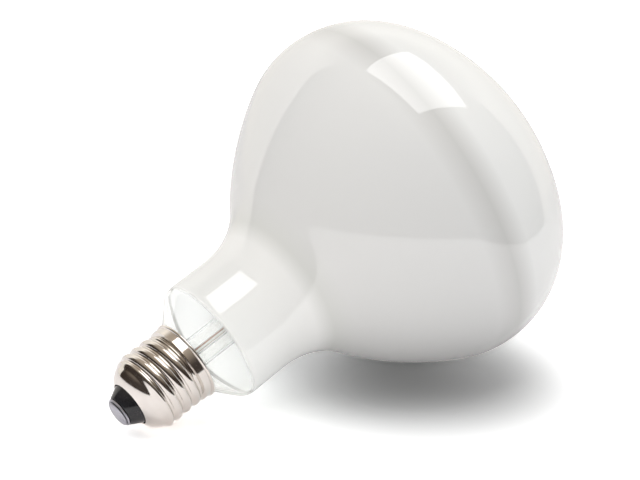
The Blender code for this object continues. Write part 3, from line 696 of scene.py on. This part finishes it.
# Room: dim, with a white wall behind the lamp, and pale window light that comes in low all round and
# higher from the back. Each light is added to the gloom, and the wall shows only where it is mirrored.
WALL_AZIMUTH = math.radians(49.5)
WALL_HALF_WIDTH = math.radians(69.5)
WALL_TOP = math.radians(50)
WALL_FADE = math.radians(14)
WALL_SIDE_FADE = 0.02
WALL_TONE = (0.95, 0.92, 0.86, 1)
ROOM_DARK = (0.040, 0.028, 0.022, 1)
ROOM_HIGH = (0.48, 0.41, 0.33, 1)
ROOM_LOW_EDGE = math.radians(17)
ROOM_HIGH_EDGE = math.radians(75)
ROOM_GLOOM = (0.06, 0.06, 0.06, 1)
BACK_AZIMUTH = math.radians(92)
BACK_HALF_WIDTH = math.radians(62)
BACK_TOP = math.radians(54)
BACK_LIGHT = (1.40, 1.40, 1.40, 1)
FRONT_AZIMUTH = math.radians(270)
FRONT_HALF_WIDTH = math.radians(84)
FRONT_TOP = math.radians(24)
FRONT_LIGHT = (1.80, 1.80, 1.80, 1)
RIGHT_AZIMUTH = math.radians(320)
RIGHT_HALF_WIDTH = math.radians(40)
RIGHT_LIGHT = (1.66, 1.64, 1.62, 1)
LEFT_AZIMUTH = math.radians(190)
LEFT_HALF_WIDTH = math.radians(40)
LEFT_LIGHT = (2.10, 2.10, 2.10, 1)
LIGHT_FADE = math.radians(14)
world = bpy.data.worlds.new("studio")
bpy.context.scene.world = world
world.use_nodes = True
nodes = world.node_tree.nodes
links = world.node_tree.links
direction = nodes.new("ShaderNodeTexCoord")
upward = nodes.new("ShaderNodeSeparateXYZ")
flat = nodes.new("ShaderNodeVectorMath")
flat.operation = "MULTIPLY"
flat.inputs[1].default_value = (1, 1, 0)
level = nodes.new("ShaderNodeVectorMath")
level.operation = "NORMALIZE"
links.new(direction.outputs["Generated"], upward.inputs["Vector"])
links.new(direction.outputs["Generated"], flat.inputs[0])
links.new(flat.outputs["Vector"], level.inputs[0])


def light_towards(base, tone, azimuth, half_width, top, fade, side_fade):
    """Add the light of a stretch of the room, up to a height and with soft edges."""
    facing = nodes.new("ShaderNodeVectorMath")
    facing.operation = "DOT_PRODUCT"
    facing.inputs[1].default_value = (math.cos(azimuth), math.sin(azimuth), 0)
    width = nodes.new("ShaderNodeMapRange")
    width.interpolation_type = "SMOOTHSTEP"
    width.inputs["From Min"].default_value = math.cos(half_width + side_fade)
    width.inputs["From Max"].default_value = math.cos(half_width - side_fade)
    height = nodes.new("ShaderNodeMapRange")
    height.interpolation_type = "SMOOTHSTEP"
    height.inputs["From Min"].default_value = math.sin(top + fade)
    height.inputs["From Max"].default_value = math.sin(top - fade)
    both = nodes.new("ShaderNodeMath")
    both.operation = "MULTIPLY"
    mixed = nodes.new("ShaderNodeMix")
    mixed.data_type = "RGBA"
    mixed.blend_type = "ADD"
    mixed.inputs["B"].default_value = tone
    links.new(level.outputs["Vector"], facing.inputs[0])
    links.new(facing.outputs["Value"], width.inputs["Value"])
    links.new(upward.outputs["Z"], height.inputs["Value"])
    links.new(width.outputs["Result"], both.inputs[0])
    links.new(height.outputs["Result"], both.inputs[1])
    links.new(both.outputs["Value"], mixed.inputs["Factor"])
    links.new(base, mixed.inputs["A"])
    return mixed.outputs["Result"]


gloom = nodes.new("ShaderNodeRGB")
gloom.outputs["Color"].default_value = ROOM_GLOOM
soft_light = gloom.outputs["Color"]
for tone, azimuth, half_width, top in (
        (BACK_LIGHT, BACK_AZIMUTH, BACK_HALF_WIDTH, BACK_TOP),
        (FRONT_LIGHT, FRONT_AZIMUTH, FRONT_HALF_WIDTH, FRONT_TOP),
        (RIGHT_LIGHT, RIGHT_AZIMUTH, RIGHT_HALF_WIDTH, FRONT_TOP),
        (LEFT_LIGHT, LEFT_AZIMUTH, LEFT_HALF_WIDTH, FRONT_TOP)):
    soft_light = light_towards(
        soft_light, tone, azimuth, half_width, top, LIGHT_FADE, LIGHT_FADE)
room = nodes.new("ShaderNodeMapRange")
room.interpolation_type = "SMOOTHSTEP"
room.inputs["From Min"].default_value = math.sin(ROOM_LOW_EDGE)
room.inputs["From Max"].default_value = math.sin(ROOM_HIGH_EDGE)
room_tone = nodes.new("ShaderNodeMix")
room_tone.data_type = "RGBA"
room_tone.inputs["A"].default_value = ROOM_DARK
room_tone.inputs["B"].default_value = ROOM_HIGH
links.new(upward.outputs["Z"], room.inputs["Value"])
links.new(room.outputs["Result"], room_tone.inputs["Factor"])
wall_seen = light_towards(
    room_tone.outputs["Result"], WALL_TONE,
    WALL_AZIMUTH, WALL_HALF_WIDTH, WALL_TOP, WALL_FADE, WALL_SIDE_FADE)
mirrored = nodes.new("ShaderNodeMix")
mirrored.data_type = "RGBA"
ray = nodes.new("ShaderNodeLightPath")
seen = nodes.new("ShaderNodeMath")
seen.operation = "MAXIMUM"
backdrop = nodes.new("ShaderNodeMix")
backdrop.data_type = "RGBA"
backdrop.inputs["B"].default_value = (1, 1, 1, 1)
links.new(ray.outputs["Is Camera Ray"], seen.inputs[0])
links.new(ray.outputs["Is Transmission Ray"], seen.inputs[1])
links.new(seen.outputs["Value"], backdrop.inputs["Factor"])
links.new(ray.outputs["Is Glossy Ray"], mirrored.inputs["Factor"])
links.new(soft_light, mirrored.inputs["A"])
links.new(wall_seen, mirrored.inputs["B"])
links.new(mirrored.outputs["Result"], backdrop.inputs["A"])
links.new(backdrop.outputs["Result"], nodes["Background"].inputs["Color"])

# Softbox: one soft box, hung over the lamp and a little before it, and tipped to face it. It shows
# as the bright patches on the edge of the dome, on the neck and on the cap's skirt.
SOFTBOX_CENTRE = (0.0185, -0.054, 0.352)
SOFTBOX_WIDTH = 0.231
SOFTBOX_DEPTH = 0.235
SOFTBOX_TILT = math.radians(18.9)
SOFTBOX_POWER = 0.49
bpy.ops.object.light_add(type="AREA", location=SOFTBOX_CENTRE, rotation=(SOFTBOX_TILT, 0, 0))
softbox = bpy.context.object
softbox.data.shape = "RECTANGLE"
softbox.data.size = SOFTBOX_WIDTH
softbox.data.size_y = SOFTBOX_DEPTH
softbox.data.energy = SOFTBOX_POWER
softbox.visible_camera = False

# Camera: a long lens a little above the lamp, off to the side of its cap. It looks down at the lamp
# by about 16 degrees.
CAMERA_PLACE = (-0.27714, -0.35886, 0.17961)
CAMERA_TURN = (math.radians(73.926), math.radians(-0.216), math.radians(-37.54))
CAMERA_LENS = 80.18
bpy.ops.object.camera_add(location=CAMERA_PLACE, rotation=CAMERA_TURN)
camera = bpy.context.object
camera.data.lens = CAMERA_LENS
camera.data.sensor_width = 36
camera.data.clip_start = 0.01
bpy.context.scene.camera = camera
bpy.context.scene.view_settings.view_transform = "Standard"
